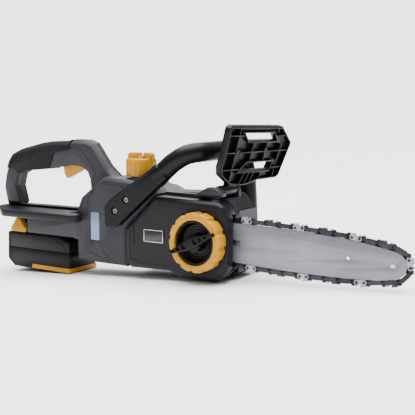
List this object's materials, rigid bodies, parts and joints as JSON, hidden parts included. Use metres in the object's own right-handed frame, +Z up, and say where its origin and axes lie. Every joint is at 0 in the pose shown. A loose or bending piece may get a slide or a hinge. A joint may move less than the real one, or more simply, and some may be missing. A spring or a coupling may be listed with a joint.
{
  "type": "battery chainsaw",
  "caption": "Cordless top-guard chainsaw with a rear D-handle, tubular front handle, side cover with clamp knob, guide bar with saw chain and slide-in battery pack.",
  "frame": {"origin": "on the floor, under the middle of the whole saw's bounding box", "axes": "+X forwards along the guide bar, +Y to the saw's left, +Z up"},
  "size_m": [0.7066, 0.1951, 0.2142],
  "materials": {
    "housing_plastic": "moulded, fine grain",
    "cover_plastic": "moulded, satin",
    "black_plastic": "moulded, satin",
    "rubber": "soft, matt",
    "yellow_plastic": "moulded, half gloss",
    "ground_steel": "ground",
    "chain_steel": "dark, oiled",
    "oil_window": "smooth",
    "copper": "wound",
    "brass": "plain",
    "cast_alloy": "cast",
    "circuit_board": "lacquered",
    "cell_wrap": "shrink-wrapped",
    "badge": "satin"
  },
  "bodies": {
    "saw": {"brake_band": "ground_steel", "cap_gasket": "rubber", "chain_catcher": "black_plastic", "clamp_stud": "ground_steel", "control_board": "circuit_board", "cover_badge": "badge", "front_foot": "rubber", "front_handle": "black_plastic", "gearbox_plate": "cast_alloy", "grip_overmould": "rubber", "guard_pivot_pin": "ground_steel", "handle_screw_1": "chain_steel", "handle_screw_2": "chain_steel", "handle_screw_3": "chain_steel", "housing_screw_1": "chain_steel", "housing_screw_2": "chain_steel", "housing_screw_3": "chain_steel", "housing_screw_4": "chain_steel", "left_housing": "housing_plastic", "motor_can": "copper", "oil_hose": "rubber", "oil_pump": "black_plastic", "oil_tank": "oil_window", "oil_window": "oil_window", "output_bearing": "ground_steel", "plate_bearing": "ground_steel", "power_switch": "black_plastic", "rear_hand_guard": "cover_plastic", "right_housing": "housing_plastic", "sprocket_cover": "cover_plastic", "terminal_block": "brass"},
    "guard": {"hand_guard": "black_plastic"},
    "trigger": {"trigger": "yellow_plastic"},
    "lock_off": {"lock_off_button": "yellow_plastic"},
    "ring": {"tension_ring": "yellow_plastic", "tension_cam": "ground_steel"},
    "knob": {"lock_knob": "black_plastic", "clamp_nut": "ground_steel"},
    "bar": {"guide_bar": "ground_steel", "nose_hub": "ground_steel", "tensioner_carriage": "ground_steel", "saw_chain": "chain_steel"},
    "nose": {"nose_sprocket": "chain_steel"},
    "drive": {"drive_sprocket": "chain_steel", "drive_gear": "ground_steel", "output_shaft": "ground_steel", "brake_drum": "chain_steel"},
    "motor": {"motor_rotor": "ground_steel"},
    "cap": {"oil_cap": "yellow_plastic"},
    "battery": {"battery_lower_case": "black_plastic", "battery_upper_case": "black_plastic", "battery_bumper": "yellow_plastic", "battery_board": "circuit_board", "battery_cell_1": "cell_wrap", "battery_cell_2": "cell_wrap", "battery_cell_3": "cell_wrap", "battery_cell_4": "cell_wrap", "battery_cell_5": "cell_wrap"},
    "latch_right": {"battery_latch_right": "yellow_plastic"},
    "latch_left": {"battery_latch_left": "yellow_plastic"}
  },
  "joints": [
    {"name": "guard_hinge", "type": "hinge", "parent": "saw", "child": "guard", "pos_m": [0.09348, -0.0435, 0.12458], "axis": [0, 1, 0], "range_deg": [0, 22]},
    {"name": "trigger_hinge", "type": "hinge", "parent": "saw", "child": "trigger", "pos_m": [-0.16075, -0.0315, 0.17398], "axis": [0, 1, 0], "range_deg": [0, 12], "stiffness_Nm_per_rad": 0.2, "springref_deg": -11.46},
    {"name": "lock_off_press", "type": "slide", "parent": "saw", "child": "lock_off", "axis": [0, -1, 0], "range_m": [0, 0.003], "stiffness_N_per_m": 300, "springref_m": -0.001},
    {"name": "ring_turn", "type": "hinge", "parent": "saw", "child": "ring", "pos_m": [0.07293, -0.0435, 0.05832], "axis": [0, 1, 0], "range_deg": [-160, 0]},
    {"name": "bar_slide", "type": "slide", "parent": "saw", "child": "bar", "axis": [0.9943, 0, -0.1063], "range_m": [-0.004, 0]},
    {"name": "knob_turn", "type": "hinge", "parent": "saw", "child": "knob", "pos_m": [0.07293, -0.0435, 0.05832], "axis": [0, 1, 0], "range_deg": [-360, 0]},
    {"name": "cap_turn", "type": "hinge", "parent": "saw", "child": "cap", "pos_m": [-0.05166, -0.0295, 0.14951], "axis": [0.068, 0, 0.9977], "range_deg": [0, 90]},
    {"name": "drive_spin", "type": "hinge", "parent": "saw", "child": "drive", "pos_m": [0.01257, -0.0435, 0.06477], "axis": [0, 1, 0], "continuous": true},
    {"name": "motor_spin", "type": "hinge", "parent": "saw", "child": "motor", "pos_m": [0.04412, -0.0435, 0.07258], "axis": [0, 1, 0], "continuous": true},
    {"name": "nose_spin", "type": "hinge", "parent": "bar", "child": "nose", "pos_m": [0.32847, -0.0435, 0.03101], "axis": [0, 1, 0], "continuous": true},
    {"name": "battery_slide", "type": "slide", "parent": "saw", "child": "battery", "axis": [-0.9977, 0, 0.068], "range_m": [0, 0.12]},
    {"name": "latch_right_press", "type": "slide", "parent": "battery", "child": "latch_right", "axis": [0, 1, 0], "range_m": [0, 0.003], "stiffness_N_per_m": 400, "springref_m": -0.001},
    {"name": "latch_left_press", "type": "slide", "parent": "battery", "child": "latch_left", "axis": [0, -1, 0], "range_m": [0, 0.003], "stiffness_N_per_m": 400, "springref_m": -0.001}
  ],
  "couplings": [
    {"joint": "bar_slide", "follows": "ring_turn", "m_per_rad": 0.00143},
    {"joint": "motor_spin", "follows": "drive_spin", "ratio": -3.3333},
    {"joint": "nose_spin", "follows": "drive_spin", "ratio": 0.75}
  ]
}
